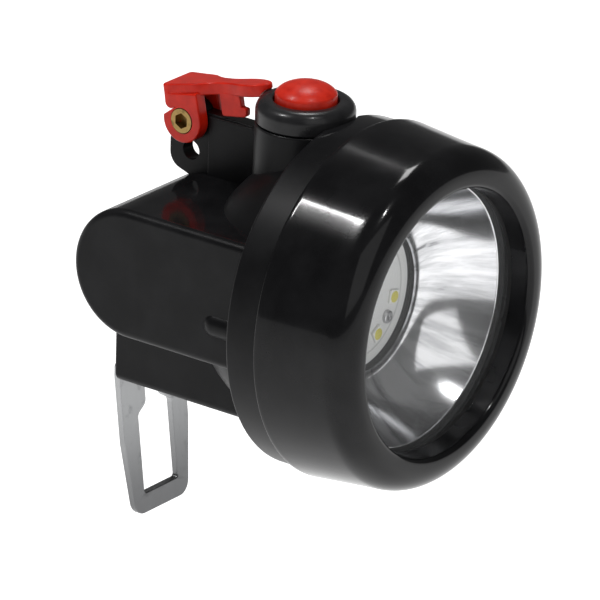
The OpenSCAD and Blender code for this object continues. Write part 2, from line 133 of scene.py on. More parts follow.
# A material, with the nodes that are used over and over here
class Paint:
    def __init__(self, name):
        self.material = bpy.data.materials.new(name)
        self.material.use_nodes = True
        self.tree = self.material.node_tree
        self.shader = self.tree.nodes["Principled BSDF"]
        self.place = self.node("ShaderNodeTexCoord", out="Object")
        parts = self.split(self.place)
        self.x = (parts["X"] - lampCentre.x) / mm
        self.z = (parts["Z"] - lampCentre.z) / mm

    def node(self, kind, settings=None, sockets=None, out=0):
        made = self.tree.nodes.new(kind)
        for key, value in (settings or {}).items():
            setattr(made, key, value)
        for key, value in (sockets or {}).items():
            self.plug(self.find(made.inputs, key), value)
        return Wire(self, self.find(made.outputs, out))

    def find(self, sockets, key):
        if isinstance(key, int):
            return sockets[key]
        matches = [s for s in sockets if s.identifier == key] or [s for s in sockets if s.name == key]
        return matches[0]

    def plug(self, socket, value):
        if isinstance(value, Wire):
            self.tree.links.new(value.socket, socket)
        elif socket.type == "RGBA" and len(value) == 3:
            socket.default_value = (*value, 1)
        else:
            socket.default_value = value

    def split(self, wire):
        made = self.tree.nodes.new("ShaderNodeSeparateXYZ")
        self.plug(made.inputs[0], wire)
        return {name: Wire(self, made.outputs[name]) for name in "XYZ"}

    def noise(self, scale, detail=3, stretch=(1, 1, 1), rough=0.5):
        spot = self.node("ShaderNodeVectorMath", {"operation": "MULTIPLY"}, {0: self.place, 1: stretch})
        return self.node("ShaderNodeTexNoise", None,
                         {"Vector": spot, "Scale": scale, "Detail": detail, "Roughness": rough}, out="Fac")

    def specks(self, scale, size):
        cells = self.node("ShaderNodeTexVoronoi", None,
                          {"Vector": self.place, "Scale": scale}, out="Distance")
        return cells.over(size, size * 0.5)

    def mix(self, amount, first, second):
        return self.node("ShaderNodeMix", {"data_type": "RGBA"},
                         {"Factor_Float": amount, "A_Color": first, "B_Color": second}, out="Result_Color")

    def blend(self, amount, first, second):
        return first + amount * (second - first)

    def radius(self, across, along):
        return self.node("ShaderNodeMath", {"operation": "SQRT"}, {0: across * across + along * along})

    def normal(self, height, strength, distance=0.0001):
        return self.node("ShaderNodeBump", None,
                         {"Strength": strength, "Distance": distance, "Height": height})

    def finish(self, **sockets):
        for key, value in sockets.items():
            self.plug(self.find(self.shader.inputs, key.replace("_", " ")), value)
        return self.material


def mouldedPlastic(name, look):
    paint = Paint(name)
    paint.shader.inputs["Specular IOR Level"].default_value = look["shine"]
    mottle = paint.noise(look["mottle"], 4)
    grain = paint.noise(look["grain"], 2)
    dust = paint.specks(900, 0.05) * paint.noise(260, 2).over(0.5, 0.7)
    colour = paint.mix(mottle.over(0.3, 0.7), look["colour"], look["worn"])
    rough = paint.blend(mottle, look["rough"][0], look["rough"][1])
    if look.get("glossyTop"):
        facing = paint.split(paint.node("ShaderNodeNewGeometry", out="Normal"))["Z"].over(0.86, 0.99)
        rough = rough + facing * (look["glossyTop"] - rough)
    return paint.finish(
        Base_Color=paint.mix(dust * 0.35, colour, look["dust"]),
        Roughness=rough + dust * 0.25,
        Normal=paint.normal(grain, look["bump"]),
        Coat_Weight=look["coat"], Coat_Roughness=look["coatRough"])


blackGloss = mouldedPlastic("blackGloss", {
    "colour": (0.0045, 0.0045, 0.005), "worn": (0.0085, 0.0085, 0.0092), "dust": (0.06, 0.06, 0.062),
    "rough": (0.14, 0.2), "mottle": 140, "grain": 2600, "bump": 0.03,
    "coat": 0.25, "coatRough": 0.08, "shine": 0.07})
blackSatin = mouldedPlastic("blackSatin", {
    "colour": (0.0055, 0.0055, 0.006), "worn": (0.01, 0.01, 0.0108), "dust": (0.07, 0.07, 0.072),
    "rough": (0.3, 0.42), "glossyTop": 0.09, "mottle": 120, "grain": 2200, "bump": 0.06,
    "coat": 0, "coatRough": 0.1, "shine": 0.12})
collarBlack = mouldedPlastic("collarBlack", {
    "colour": (0.012, 0.012, 0.013), "worn": (0.02, 0.02, 0.021), "dust": (0.09, 0.09, 0.09),
    "rough": (0.24, 0.34), "mottle": 300, "grain": 3000, "bump": 0.06,
    "coat": 0.1, "coatRough": 0.12, "shine": 0.2})
leverRed = mouldedPlastic("leverRed", {
    "colour": (0.52, 0.011, 0.003), "worn": (0.64, 0.018, 0.005), "dust": (0.7, 0.2, 0.16),
    "rough": (0.26, 0.36), "mottle": 420, "grain": 2600, "bump": 0.08,
    "coat": 0.06, "coatRough": 0.12, "shine": 0.22})
buttonRed = mouldedPlastic("buttonRed", {
    "colour": (0.52, 0.015, 0.006), "worn": (0.64, 0.025, 0.01), "dust": (0.7, 0.25, 0.2),
    "rough": (0.3, 0.42), "mottle": 500, "grain": 3400, "bump": 0.1,
    "coat": 0.03, "coatRough": 0.15, "shine": 0.22})
sealRubber = mouldedPlastic("sealRubber", {
    "colour": (0.008, 0.008, 0.008), "worn": (0.016, 0.016, 0.016), "dust": (0.08, 0.08, 0.08),
    "rough": (0.55, 0.75), "mottle": 500, "grain": 1800, "bump": 0.1,
    "coat": 0, "coatRough": 0.3, "shine": 0.3})
leadRed = mouldedPlastic("leadRed", {
    "colour": (0.35, 0.012, 0.008), "worn": (0.45, 0.03, 0.02), "dust": (0.6, 0.3, 0.3),
    "rough": (0.4, 0.55), "mottle": 500, "grain": 1800, "bump": 0.05,
    "coat": 0, "coatRough": 0.3, "shine": 0.4})


def metal(name, look):
    paint = Paint(name)
    brushed = paint.noise(look["brush"], 3, look["stretch"], 0.65)
    cloud = paint.noise(160, 3)
    stain = paint.noise(420, 4).over(0.56, 0.74)
    colour = paint.mix(stain * look["stain"], look["colour"], look["dark"])
    # Painted shade: where look has a foot colour, the metal is coloured darker towards the bottom of the hook
    if look.get("foot"):
        colour = paint.mix(paint.z.over(-28, -54), colour, look["foot"])
    return paint.finish(
        Base_Color=colour, Metallic=1,
        Roughness=paint.blend(brushed * 0.6 + cloud * 0.4, look["rough"][0], look["rough"][1]) + stain * 0.12,
        Normal=paint.normal(brushed, look["bump"]))


# The stainless foot colour is painted shade on the hook's lower end, blended in between 28 and 54 mm below
# the axis
stainless = metal("stainless", {
    "colour": (0.36, 0.365, 0.37), "dark": (0.16, 0.16, 0.165), "foot": (0.15, 0.152, 0.155),
    "stain": 0.35, "brush": 900, "stretch": (1, 1, 0.06), "rough": (0.3, 0.46), "bump": 0.12})
screwSteel = metal("screwSteel", {
    "colour": (0.56, 0.56, 0.57), "dark": (0.22, 0.22, 0.22), "stain": 0.5, "brush": 1600,
    "stretch": (1, 1, 1), "rough": (0.28, 0.42), "bump": 0.1})
brass = metal("brass", {
    "colour": (0.33, 0.22, 0.08), "dark": (0.08, 0.055, 0.02), "stain": 0.8, "brush": 1800,
    "stretch": (1, 0.3, 1), "rough": (0.3, 0.5), "bump": 0.12})
nickel = metal("nickel", {
    "colour": (0.55, 0.53, 0.49), "dark": (0.3, 0.28, 0.25), "stain": 0.3, "brush": 1300,
    "stretch": (0.2, 1, 1), "rough": (0.25, 0.4), "bump": 0.08})
machined = metal("machined", {
    "colour": (0.62, 0.63, 0.64), "dark": (0.4, 0.4, 0.41), "stain": 0.2, "brush": 1200,
    "stretch": (1, 1, 1), "rough": (0.3, 0.45), "bump": 0.08})


def chromedBowl():
    paint = Paint("chromedBowl")
    out = paint.radius(paint.x, paint.z)
    heading = paint.node("ShaderNodeCombineXYZ", None,
                         {"X": paint.x / out, "Y": out * 0.012, "Z": paint.z / out})
    # Radial wedges round the axis: they vary the roughness and bump, and also paint light and dark wedges of
    # reflection into the chrome's colour
    radialStreaksAndPaintedReflection = paint.node("ShaderNodeTexNoise", None,
                      {"Vector": heading, "Scale": 7.5, "Detail": 4, "Roughness": 0.6}, out="Fac")
    haze = paint.noise(240, 3)
    inside = out.over(25.1, 24.7)
    # Painted reflection: lighter and darker wedges and dark streaks in the bowl's base colour. The lip past
    # 25.1 mm stays plain bright chrome
    colour = paint.mix(radialStreaksAndPaintedReflection.over(0.35, 0.62), (0.8, 0.805, 0.82), (0.5, 0.505, 0.52))
    colour = paint.mix(radialStreaksAndPaintedReflection.over(0.6, 0.66) * inside, colour, (0.2, 0.2, 0.21))
    return paint.finish(Base_Color=paint.mix(inside, (0.92, 0.92, 0.93), colour), Metallic=1,
                        Roughness=paint.blend(haze, 0.09, 0.13) + radialStreaksAndPaintedReflection * 0.05,
                        Normal=paint.normal(radialStreaksAndPaintedReflection, 0.06))


def clearLens():
    paint = Paint("clearLens")
    smear = paint.noise(60, 3)
    dust = paint.specks(700, 0.045) * paint.noise(120, 2).over(0.45, 0.65)
    paint.shader.inputs["IOR"].default_value = 1.5
    return paint.finish(Base_Color=paint.mix(smear, (0.93, 0.95, 0.97), (1, 1, 1)),
                        Roughness=paint.blend(smear, 0.015, 0.05),
                        Alpha=0.035 + dust * 0.25)


def whiteBoard():
    paint = Paint("whiteBoard")
    out = paint.radius(paint.x, paint.z)
    cloud = paint.noise(220, 3)
    track = out.over(11.3, 11.5) * out.over(11.9, 11.7)
    # Painted shade: the gasket ring is the board coloured black from 13.55 mm out, where it runs under the
    # reflector's hole edge
    gasket = out.over(13.55, 13.7)
    face = paint.mix(cloud, (0.74, 0.75, 0.74), (0.82, 0.83, 0.82))
    face = paint.mix(track * 0.55, face, (0.42, 0.43, 0.42))
    return paint.finish(Base_Color=paint.mix(gasket, face, (0.012, 0.012, 0.012)),
                        Roughness=paint.blend(cloud, 0.36, 0.5),
                        Normal=paint.normal(track + cloud * 0.2, 0.2))


def greenBoard():
    paint = Paint("greenBoard")
    lines = paint.node("ShaderNodeTexBrick", None, {
        "Vector": paint.place, "Scale": 300, "Mortar Size": 0.06, "Brick Width": 0.9,
        "Row Height": 0.4}, out="Fac")
    cloud = paint.noise(300, 3)
    return paint.finish(Base_Color=paint.mix(lines * 0.7, (0.012, 0.1, 0.03), (0.05, 0.24, 0.08)),
                        Roughness=paint.blend(cloud, 0.3, 0.45), Normal=paint.normal(lines, 0.2))


def phosphor():
    paint = Paint("phosphor")
    grain = paint.noise(5200, 2)
    colour = paint.mix(grain, (0.62, 0.56, 0.05), (0.74, 0.68, 0.16))
    return paint.finish(Base_Color=colour, Roughness=paint.blend(grain, 0.3, 0.5),
                        Normal=paint.normal(grain, 0.15))


def ledHousing():
    paint = Paint("ledHousing")
    cloud = paint.noise(900, 2)
    return paint.finish(Base_Color=paint.mix(cloud, (0.78, 0.78, 0.74), (0.88, 0.88, 0.84)),
                        Roughness=paint.blend(cloud, 0.4, 0.55), Normal=paint.normal(cloud, 0.1))


def cellSleeve(ends):
    paint = Paint("cellSleeve")
    out = paint.node("ShaderNodeMath", {"operation": "ABSOLUTE"}, {0: paint.x})
    cloud = paint.noise(200, 3)
    bare = out.over(ends - 0.7, ends - 0.5)
    sleeve = paint.mix(cloud, (0.02, 0.1, 0.3), (0.03, 0.15, 0.4))
    return paint.finish(Base_Color=paint.mix(bare, sleeve, (0.6, 0.6, 0.6)), Metallic=bare,
                        Roughness=paint.blend(cloud, 0.3, 0.45), Normal=paint.normal(cloud, 0.1))


def studioFloor():
    paint = Paint("studioFloor")
    cloud = paint.noise(9, 2)
    white = paint.mix(cloud, (0.8, 0.8, 0.8), (0.84, 0.84, 0.84))
    paint.shader.inputs["Emission Strength"].default_value = studio["floorGlow"]
    return paint.finish(Base_Color=white, Emission_Color=white, Roughness=paint.blend(cloud, 0.7, 0.85))


print("materials made")


def toPart(point):
    return lampCentre + Vector(point) * mm


def tidyMesh(mesh, sharp):
    work = bmesh.new()
    work.from_mesh(mesh)
    bmesh.ops.remove_doubles(work, verts=work.verts, dist=0.002 * mm)
    bmesh.ops.dissolve_degenerate(work, edges=work.edges, dist=0.001 * mm)
    bmesh.ops.recalc_face_normals(work, faces=work.faces)
    work.to_mesh(mesh)
    work.free()
    mesh.shade_smooth()
    mesh.set_sharp_from_angle(angle=math.radians(sharp))


def solid(name, points, faces, sharp=35):
    mesh = bpy.data.meshes.new(name)
    mesh.from_pydata([toPart(p) for p in points], [], faces)
    tidyMesh(mesh, sharp)
    piece = bpy.data.objects.new(name, mesh)
    scene.collection.objects.link(piece)
    return piece


# Turns a closed profile of (radius, distance along the axis) about an axis. centre is where that axis is.
def spin(name, profile, steps=256, axis="Y", centre=(0, 0), sharp=35):
    points = []
    for i in range(steps):
        turn = 2 * math.pi * i / steps
        for r, along in profile:
            a, b = centre[0] + r * math.cos(turn), centre[1] + r * math.sin(turn)
            points.append({"Y": (a, along, b), "Z": (a, b, along), "X": (along, a, b)}[axis])
    size = len(profile)
    faces = [(i * size + k, i * size + (k + 1) % size,
              (i + 1) % steps * size + (k + 1) % size, (i + 1) % steps * size + k)
             for i in range(steps) for k in range(size)]
    return solid(name, points, faces, sharp)


# Points on a circle, from one angle to another, in degrees
def arc(x, y, r, start, end, steps=10):
    turns = [math.radians(start + (end - start) * i / steps) for i in range(steps + 1)]
    return [(x + r * math.cos(a), y + r * math.sin(a)) for a in turns]


# A closed outline from (x, y, radius) corners
def rounded(corners, steps=7):
    outline = []
    for i, (x, y, r) in enumerate(corners):
        here = Vector((x, y))
        before = (Vector(corners[i - 1][:2]) - here).normalized()
        after = (Vector(corners[(i + 1) % len(corners)][:2]) - here).normalized()
        half = before.angle(after) / 2
        if r < 0.01 or half > math.pi / 2 - 0.02:
            outline.append((x, y))
            continue
        reach = r / math.tan(half)
        centre = here + (before + after).normalized() * (r / math.sin(half))
        first, last = here + before * reach - centre, here + after * reach - centre
        sweep = first.angle_signed(last)
        for k in range(steps + 1):
            turned = first.copy()
            turned.rotate(Matrix.Rotation(-sweep * k / steps, 2))
            outline.append(tuple(centre + turned))
    return outline


# A plate with rounded edges. outlines are its edge and its holes, drawn in the two directions in axes.
def plate(name, outlines, low, high, bevel, axes, sharp=35, rings=4):
    curve = bpy.data.curves.new(name, "CURVE")
    curve.dimensions, curve.fill_mode = "2D", "BOTH"
    curve.extrude = (high - low) / 2 - bevel
    curve.bevel_depth, curve.offset, curve.bevel_resolution = bevel, -bevel, rings
    for outline in outlines:
        spline = curve.splines.new("POLY")
        spline.points.add(len(outline) - 1)
        for spot, (x, y) in zip(spline.points, outline):
            spot.co = (x, y, 0, 1)
        spline.use_cyclic_u = True
    holder = bpy.data.objects.new(name, curve)
    scene.collection.objects.link(holder)
    graph = bpy.context.evaluated_depsgraph_get()
    mesh = bpy.data.meshes.new_from_object(holder.evaluated_get(graph))
    bpy.data.objects.remove(holder)
    middle = (low + high) / 2
    order = {"XY": (0, 1, 2), "YZ": (2, 0, 1), "XZ": (0, 2, 1)}[axes]
    for vertex in mesh.vertices:
        flat = (vertex.co.x, vertex.co.y, vertex.co.z + middle)
        vertex.co = toPart([flat[k] for k in order])
    tidyMesh(mesh, sharp)
    piece = bpy.data.objects.new(name, mesh)
    scene.collection.objects.link(piece)
    return piece


def apply(piece):
    graph = bpy.context.evaluated_depsgraph_get()
    mesh = bpy.data.meshes.new_from_object(piece.evaluated_get(graph))
    piece.modifiers.clear()
    piece.data = mesh


# Adds the others to the piece, or cuts them out of it, and removes them
def combine(piece, others, operation):
    for other in others:
        step = piece.modifiers.new("step", "BOOLEAN")
        step.operation, step.object, step.solver = operation, other, "EXACT"
    apply(piece)
    for other in others:
        bpy.data.objects.remove(other)


# Keeps flat faces flat-shaded beside their rounded edges
def weight(piece, sharp=30):
    tidyMesh(piece.data, sharp)
    step = piece.modifiers.new("normals", "WEIGHTED_NORMAL")
    step.keep_sharp = True
    apply(piece)


def finished(piece, material, body, slot, *nodes):
    piece.data.materials.clear()
    piece.data.materials.append(material)
    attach(piece, body)
    if nodes:
        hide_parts(*nodes)
    return piece


bezel = {"barrel": 32.6, "nose": 5.4, "mouth": 25.4, "lip": 1.2, "lensFront": 5.0, "pocket": 27.7,
         "neck": 30.9, "edge": 0.45, "gap": 0.02, "curve": 1.08, "gasket": 0.8, "sealY": -8.2, "steps": 320}


def bezelProfile():
    noseY = frontY + bezel["nose"]
    edge = bezel["edge"]
    start = -bezel["gap"] - edge
    profile = [(bezel["neck"], -bezel["gap"]), (seamRadius - edge, -bezel["gap"])]
    profile += arc(seamRadius - edge, start, edge, 90, 0, 5)
    for i in range(1, 24):
        t = i / 24
        r = bezel["barrel"] + (seamRadius - bezel["barrel"]) * (1 - t) ** bezel["curve"]
        profile.append((r, start + (noseY + 0.1) * t))
    profile += arc(bezel["barrel"] - bezel["nose"], noseY, bezel["nose"], -5, -90, 24)
    profile += arc(bezel["mouth"] + bezel["lip"], frontY + bezel["lip"], bezel["lip"], -90, -180, 10)
    seatY = frontY + bezel["lensFront"] - bezel["gasket"]
    profile += [(bezel["mouth"] - 0.45, seatY - 0.1), (bezel["mouth"] - 0.35, seatY),
                (bezel["pocket"], seatY), (bezel["pocket"], bezel["sealY"]), (bezel["neck"], bezel["sealY"])]
    return profile


finished(spin("bezelRing", bezelProfile(), bezel["steps"]), blackGloss, "lamp", "black_gloss", "bezel")

lens = {"radius": 27.4, "front": -14.6, "thick": 2.0, "edge": 0.2}


def lensProfile():
    r, edge, front = lens["radius"], lens["edge"], lens["front"]
    back = front + lens["thick"]
    return [(0, front), (r - edge, front), (r, front + edge), (r, back - edge), (r - edge, back), (0, back)]


finished(spin("lensDisc", lensProfile()), clearLens(), "lamp", "clear", "lens")

reflector = {"hole": 14.0, "rim": 24.8, "floor": -1.2, "front": -12.5, "flange": 27.0, "thick": 1.2,
             "lip": 0.25}


def reflectorProfile():
    inner, outer = [], []
    for i in range(41):
        t = i / 40
        r = reflector["hole"] + (reflector["rim"] - reflector["hole"]) * t
        y = reflector["floor"] + (reflector["front"] + reflector["lip"] - reflector["floor"]) * t * t
        inner.append((r, y))
        outer.append((r + reflector["thick"], y + reflector["thick"] * (1 - t) + reflector["lip"] * t))
    lip = arc(reflector["rim"] + 0.28, reflector["front"] + reflector["lip"], reflector["lip"], 180, 270, 6)
    flange = [(reflector["flange"], reflector["front"]),
              (reflector["flange"], reflector["front"] + reflector["thick"]),
              (reflector["rim"] + reflector["thick"], reflector["front"] + reflector["thick"])]
    return inner + lip + flange + outer[:-1][::-1]


finished(spin("reflectorBowl", reflectorProfile(), bezel["steps"]), chromedBowl(),
         "lamp", "reflector", "reflector")
print("front made")


# Copies of one object on a circle about the optical axis
def ringPlacer():
    group = bpy.data.node_groups.new("ringPlacer", "GeometryNodeTree")
    ports = {}
    for name, kind in (("Copied", "NodeSocketObject"), ("Count", "NodeSocketInt"),
                       ("Radius", "NodeSocketFloat"), ("First Angle", "NodeSocketFloat"),
                       ("Step Angle", "NodeSocketFloat"), ("Centre", "NodeSocketVector"),
                       ("Material", "NodeSocketMaterial")):
        ports[name] = group.interface.new_socket(name, in_out="INPUT", socket_type=kind).identifier
    group.interface.new_socket("Geometry", in_out="OUTPUT", socket_type="NodeSocketGeometry")
    nodes, links = group.nodes, group.links
    start, end = nodes.new("NodeGroupInput"), nodes.new("NodeGroupOutput")

    def maths(operation, first, second=None):
        made = nodes.new("ShaderNodeMath")
        made.operation = operation
        for socket, value in zip(made.inputs, (first, second)):
            if value is not None:
                links.new(value, socket)
        return made.outputs[0]

    line = nodes.new("GeometryNodeMeshLine")
    links.new(start.outputs["Count"], line.inputs["Count"])
    index = nodes.new("GeometryNodeInputIndex").outputs[0]
    stepped = maths("MULTIPLY", index, start.outputs["Step Angle"])
    turn = maths("ADD", start.outputs["First Angle"], stepped)
    spot = nodes.new("ShaderNodeCombineXYZ")
    links.new(maths("MULTIPLY", maths("COSINE", turn), start.outputs["Radius"]), spot.inputs["X"])
    links.new(maths("MULTIPLY", maths("SINE", turn), start.outputs["Radius"]), spot.inputs["Z"])
    shifted = nodes.new("ShaderNodeVectorMath")
    links.new(spot.outputs[0], shifted.inputs[0])
    links.new(start.outputs["Centre"], shifted.inputs[1])
    moved = nodes.new("GeometryNodeSetPosition")
    links.new(line.outputs[0], moved.inputs["Geometry"])
    links.new(shifted.outputs[0], moved.inputs["Position"])
    copied = nodes.new("GeometryNodeObjectInfo")
    links.new(start.outputs["Copied"], copied.inputs["Object"])
    heading = nodes.new("ShaderNodeCombineXYZ")
    negative = nodes.new("ShaderNodeMath")
    negative.operation = "MULTIPLY"
    negative.inputs[1].default_value = -1
    links.new(turn, negative.inputs[0])
    links.new(negative.outputs[0], heading.inputs["Y"])
    onPoints = nodes.new("GeometryNodeInstanceOnPoints")
    links.new(moved.outputs[0], onPoints.inputs["Points"])
    links.new(copied.outputs["Geometry"], onPoints.inputs["Instance"])
    links.new(heading.outputs[0], onPoints.inputs["Rotation"])
    real = nodes.new("GeometryNodeRealizeInstances")
    links.new(onPoints.outputs[0], real.inputs[0])
    painted = nodes.new("GeometryNodeSetMaterial")
    links.new(real.outputs[0], painted.inputs["Geometry"])
    links.new(start.outputs["Material"], painted.inputs["Material"])
    links.new(painted.outputs[0], end.inputs[0])
    return group, ports


ringGroup, ringPorts = ringPlacer()


# Bakes copies of a small object, drawn about the world's origin, on a circle round the optical axis
def onRing(name, copied, ring, material):
    piece = bpy.data.objects.new(name, bpy.data.meshes.new(name))
    scene.collection.objects.link(piece)
    step = piece.modifiers.new("ring", "NODES")
    step.node_group = ringGroup
    values = {"Copied": copied, "Count": ring["count"], "Radius": ring["radius"] * mm,
              "First Angle": math.radians(ring["first"]), "Step Angle": math.radians(ring["step"]),
              "Centre": lampCentre, "Material": material}
    for key, value in values.items():
        step[ringPorts[key]] = value
    piece.update_tag()
    apply(piece)
    tidyMesh(piece.data, 30)
    return piece


# Moves a small piece, drawn about the lamp's centre, to the world's origin, ready to be copied
def atOrigin(piece):
    piece.data.transform(Matrix.Translation(-lampCentre))
    return piece


boardFace = 0.1  # how far the board's front face is behind the bezel's joint
chip = {"side": 2.6, "tall": 0.5, "dome": 1.12, "domeTall": 0.19, "corner": 0.25, "mainSide": 4.0,
        "mainDome": 1.5}
rings = {"aux": {"count": 2, "radius": 9.4, "first": -14.5, "step": -48},
         "main": {"count": 1, "radius": 0, "first": 0, "step": 0},
         "screws": {"count": 2, "radius": 9.4, "first": -38.5, "step": 180}}


def chipBody(side):
    half, r = side / 2, chip["corner"]
    outline = rounded([(-half, -half, r), (half, -half, r), (half, half, r), (-half, half, r)], 4)
    return plate("chipBody", [outline], boardFace - chip["tall"], boardFace, 0.08, "XZ", rings=2)


def chipDome(radius):
    top = boardFace - chip["tall"]
    profile = [(0, top + 0.05), (radius, top + 0.05)]
    for a in range(0, 91, 10):
        rise = chip["domeTall"] * math.sin(math.radians(a))
        profile.append((radius * math.cos(math.radians(a)), top - rise))
    return spin("chipDome", profile, 40)


def chipSet(name, side, dome, ring, *nodes):
    for part, make, size, material, slot, stands in (
            ("Bodies", chipBody, side, ledHousing(), "board_white", ()),
            ("Phosphor", chipDome, dome, phosphor(), "phosphor", nodes)):
        copied = atOrigin(make(size))
        finished(onRing(name + part, copied, ring, material), material, "lamp", slot, *stands)
        bpy.data.objects.remove(copied)


chipSet("auxChips", chip["side"], chip["dome"], rings["aux"], "aux_leds")
chipSet("mainChip", chip["mainSide"], chip["mainDome"], rings["main"], "main_led")


def boardScrew():
    top = boardFace - 0.68
    profile = [(0, top + 0.22), (0.42, top + 0.22), (0.5, top + 0.02), (0.62, top)]
    profile += arc(0.95, top + 0.3, 0.3, -90, 0, 5) + [(1.28, boardFace), (0, boardFace)]
    return atOrigin(spin("boardScrew", profile, 64))


screw = boardScrew()
finished(onRing("boardScrewHeads", screw, rings["screws"], screwSteel),
         screwSteel, "lamp", "screw_steel", "board_screws")
bpy.data.objects.remove(screw)
print("light-emitting diodes made")


housing = {"flange": 33.2, "flangeDeep": 6.8, "bowl": 27, "bowlDeep": 25, "wall": 1.6, "halfWide": 26.7,
           "drum": 12.6, "drumY": 34.7, "drumZ": 3.4, "edge": 1.5, "towerTop": 31.1,
           "blockHalf": 11.5, "seat": -26, "blockBack": 48.9, "neck": 30.8, "neckHollow": 29,
           "neckFront": -7}
rib = {"radius": 2.7, "side": 24.9, "z": -1.2, "end": 14.6}
bracket = {"half": 1.5, "thickHalf": 2.2, "pivot": (39.8, 26.2), "pinRadius": 1.52, "knuckle": 3.5,
           "top": 27.6, "hole": (39.6, 19.7), "holeRadius": 1.9, "step": 35.2, "front": 14.6, "edge": 0.25}


def bowlCurve(radius, deep, start, steps=36):
    return [(radius * math.cos(a), start + deep * math.sin(a))
            for a in (math.pi / 2 * i / steps for i in range(steps + 1))]


def headBack():
    flange, deep = housing["flange"], housing["flangeDeep"]
    profile = [(0, housing["neckFront"]), (housing["neck"], housing["neckFront"]),
               (housing["neck"], 0.02), (flange - 0.4, 0.02)]
    profile += arc(flange - 0.4, 0.42, 0.4, -90, 0, 4) + arc(flange - 0.6, deep - 0.6, 0.6, 0, 90, 6)
    profile += arc(housing["bowl"] + 0.9, deep + 0.9, 0.9, 270, 190, 6)
    outer = [p for p in bowlCurve(housing["bowl"], housing["bowlDeep"], deep) if p[1] > deep + 0.95]
    return spin("rearHousing", profile + outer, 256)


def drumOutline(shrink):
    r, y, z = housing["drum"] - shrink, housing["drumY"], housing["drumZ"]
    return [(4, z - r)] + arc(y, z, r, -90, 90, 72) + [(4, z + r)]


def bracketPlate():
    y, z = bracket["pivot"]
    back = [(bracket["front"], 10, 0), (40.4, 14.8, 3), (44.6, 16.2, 3.2), (44.6, 21.5, 0.8),
            (y + 3.2, 22, 0.6)]
    knuckle = [(*p, 0) for p in arc(y, z, bracket["knuckle"], -40, 150, 22)]
    return plate("bracketPlate", [rounded(back + knuckle + [(bracket["front"], bracket["top"], 0)])],
                 -bracket["half"], bracket["half"], bracket["edge"], "YZ")


def bracketRoot():
    front, step, top = bracket["front"], bracket["step"], bracket["top"]
    outline = [(front, 12), (step, 12), (step, top), (front, top)]
    return plate("bracketRoot", [outline], -bracket["thickHalf"], bracket["thickHalf"], bracket["edge"], "YZ")


def tower():
    top = housing["towerTop"]
    profile = [(0, 4), (9.6, 4), (9.35, top - 0.35)] + arc(9.0, top - 0.35, 0.3, 0, 90, 3)
    return spin("tower", profile + [(0, top)], 160, "Z", (0, switchY))


def hookBlock():
    half, seat = housing["blockHalf"], housing["seat"]
    outline = rounded([(-half, seat, 1.5), (half, seat, 1.5), (half, 3, 0), (-half, 3, 0)])
    return plate("hookBlock", [outline], 1, housing["blockBack"], 0.6, "XZ")


def sideRibs():
    ribs = []
    for side in (-1, 1):
        profile = [(0, 1), (rib["radius"], 1)] + arc(0, rib["end"], rib["radius"], 0, 90, 14)
        ribs.append(spin("sideRib", profile, 64, "Y", (side * rib["side"], rib["z"])))
    return ribs


# A round cutter, from one distance along its axis to another.
def drill(name, r, low, high, steps, axis, centre):
    return spin(name, [(0, low), (r, low), (r, high), (0, high)], steps, axis, centre)


def rearHousing():
    shell = headBack()
    half = housing["halfWide"]
    drum = plate("drum", [drumOutline(0)], -half, half, housing["edge"], "YZ", rings=7)
    plain = [drum, tower(), bracketPlate(), bracketRoot(), hookBlock(), *sideRibs()]
    combine(shell, plain, "UNION")
    wall = housing["wall"]
    hollow = plate("hollow", [drumOutline(wall)], -half + wall, half - wall, 0, "YZ")
    floorY = housing["flangeDeep"] - wall
    neck = drill("neckHollow", housing["neckHollow"], -8, floorY, 256, "Y", (0, 0))
    inner = bowlCurve(housing["bowl"] - wall, housing["bowlDeep"], floorY)
    bowl = spin("bowlHollow", inner + [(0, floorY - 1), (inner[0][0], floorY - 1)], 160)
    well = drill("well", 7.5, 14.4, 40, 96, "Z", (0, switchY))
    pocket = drill("pocket", 9.6, 31.12, 36, 160, "Z", (0, switchY))
    cord = drill("cordHole", bracket["holeRadius"], -6, 6, 64, "X", bracket["hole"])
    pin = drill("pinHole", bracket["pinRadius"], -6, 6, 48, "X", bracket["pivot"])
    combine(shell, [hollow, neck, bowl, well, pocket, cord, pin], "DIFFERENCE")
    weight(shell, 28)
    return shell


finished(rearHousing(), blackSatin, "lamp", "black_satin", "rear_housing")
print("rear housing made")


ring = {"radius": 9.3, "low": 31.22, "high": 35.58, "hole": 6.1, "lip": 0.35, "inner": 7.0, "ledge": 33.95}
push = {"radius": 5.78, "top": 38.85, "edge": 37.0, "sweep": 1.2, "skirt": 6.68, "skirtLow": 32.72,
        "skirtHigh": 33.68}


def collar():
    r, low, high, lip = ring["radius"], ring["low"], ring["high"], ring["lip"]
    bend = (high - low) / 2
    profile = [(ring["inner"], low), (r - 0.3, low), (r, low + 0.3)]
    profile += arc(r - bend, high - bend, bend, 0, 90, 20)
    profile += arc(ring["hole"] + lip, high - lip, lip, 90, 180, 6)
    profile += [(ring["hole"], ring["ledge"]), (ring["inner"], ring["ledge"])]
    return spin("switchCollar", profile, 192, "Z", (0, switchY))


def button():
    top, edge, r, sweep = push["top"], push["edge"], push["radius"], push["sweep"]
    dome = []
    for i in range(27):
        a = sweep * i / 26
        rise = (math.cos(a) - math.cos(sweep)) / (1 - math.cos(sweep))
        dome.append((r * math.sin(a) * 0.955 / math.sin(sweep), edge + (top - edge) * rise))
    profile = [(0, push["skirtLow"]), (push["skirt"], push["skirtLow"]), (push["skirt"], push["skirtHigh"]),
               (r, push["skirtHigh"]), (r, edge - 0.6)]
    profile += [(r - 0.06, edge - 0.28), (r - 0.15, edge - 0.1)]
    return spin("pushButton", profile + dome[::-1], 160, "Z", (0, switchY))


finished(collar(), collarBlack, "lamp", "black_satin", "switch_collar")
finished(button(), buttonRed, "button", "red_button", "button")
print("switch made")


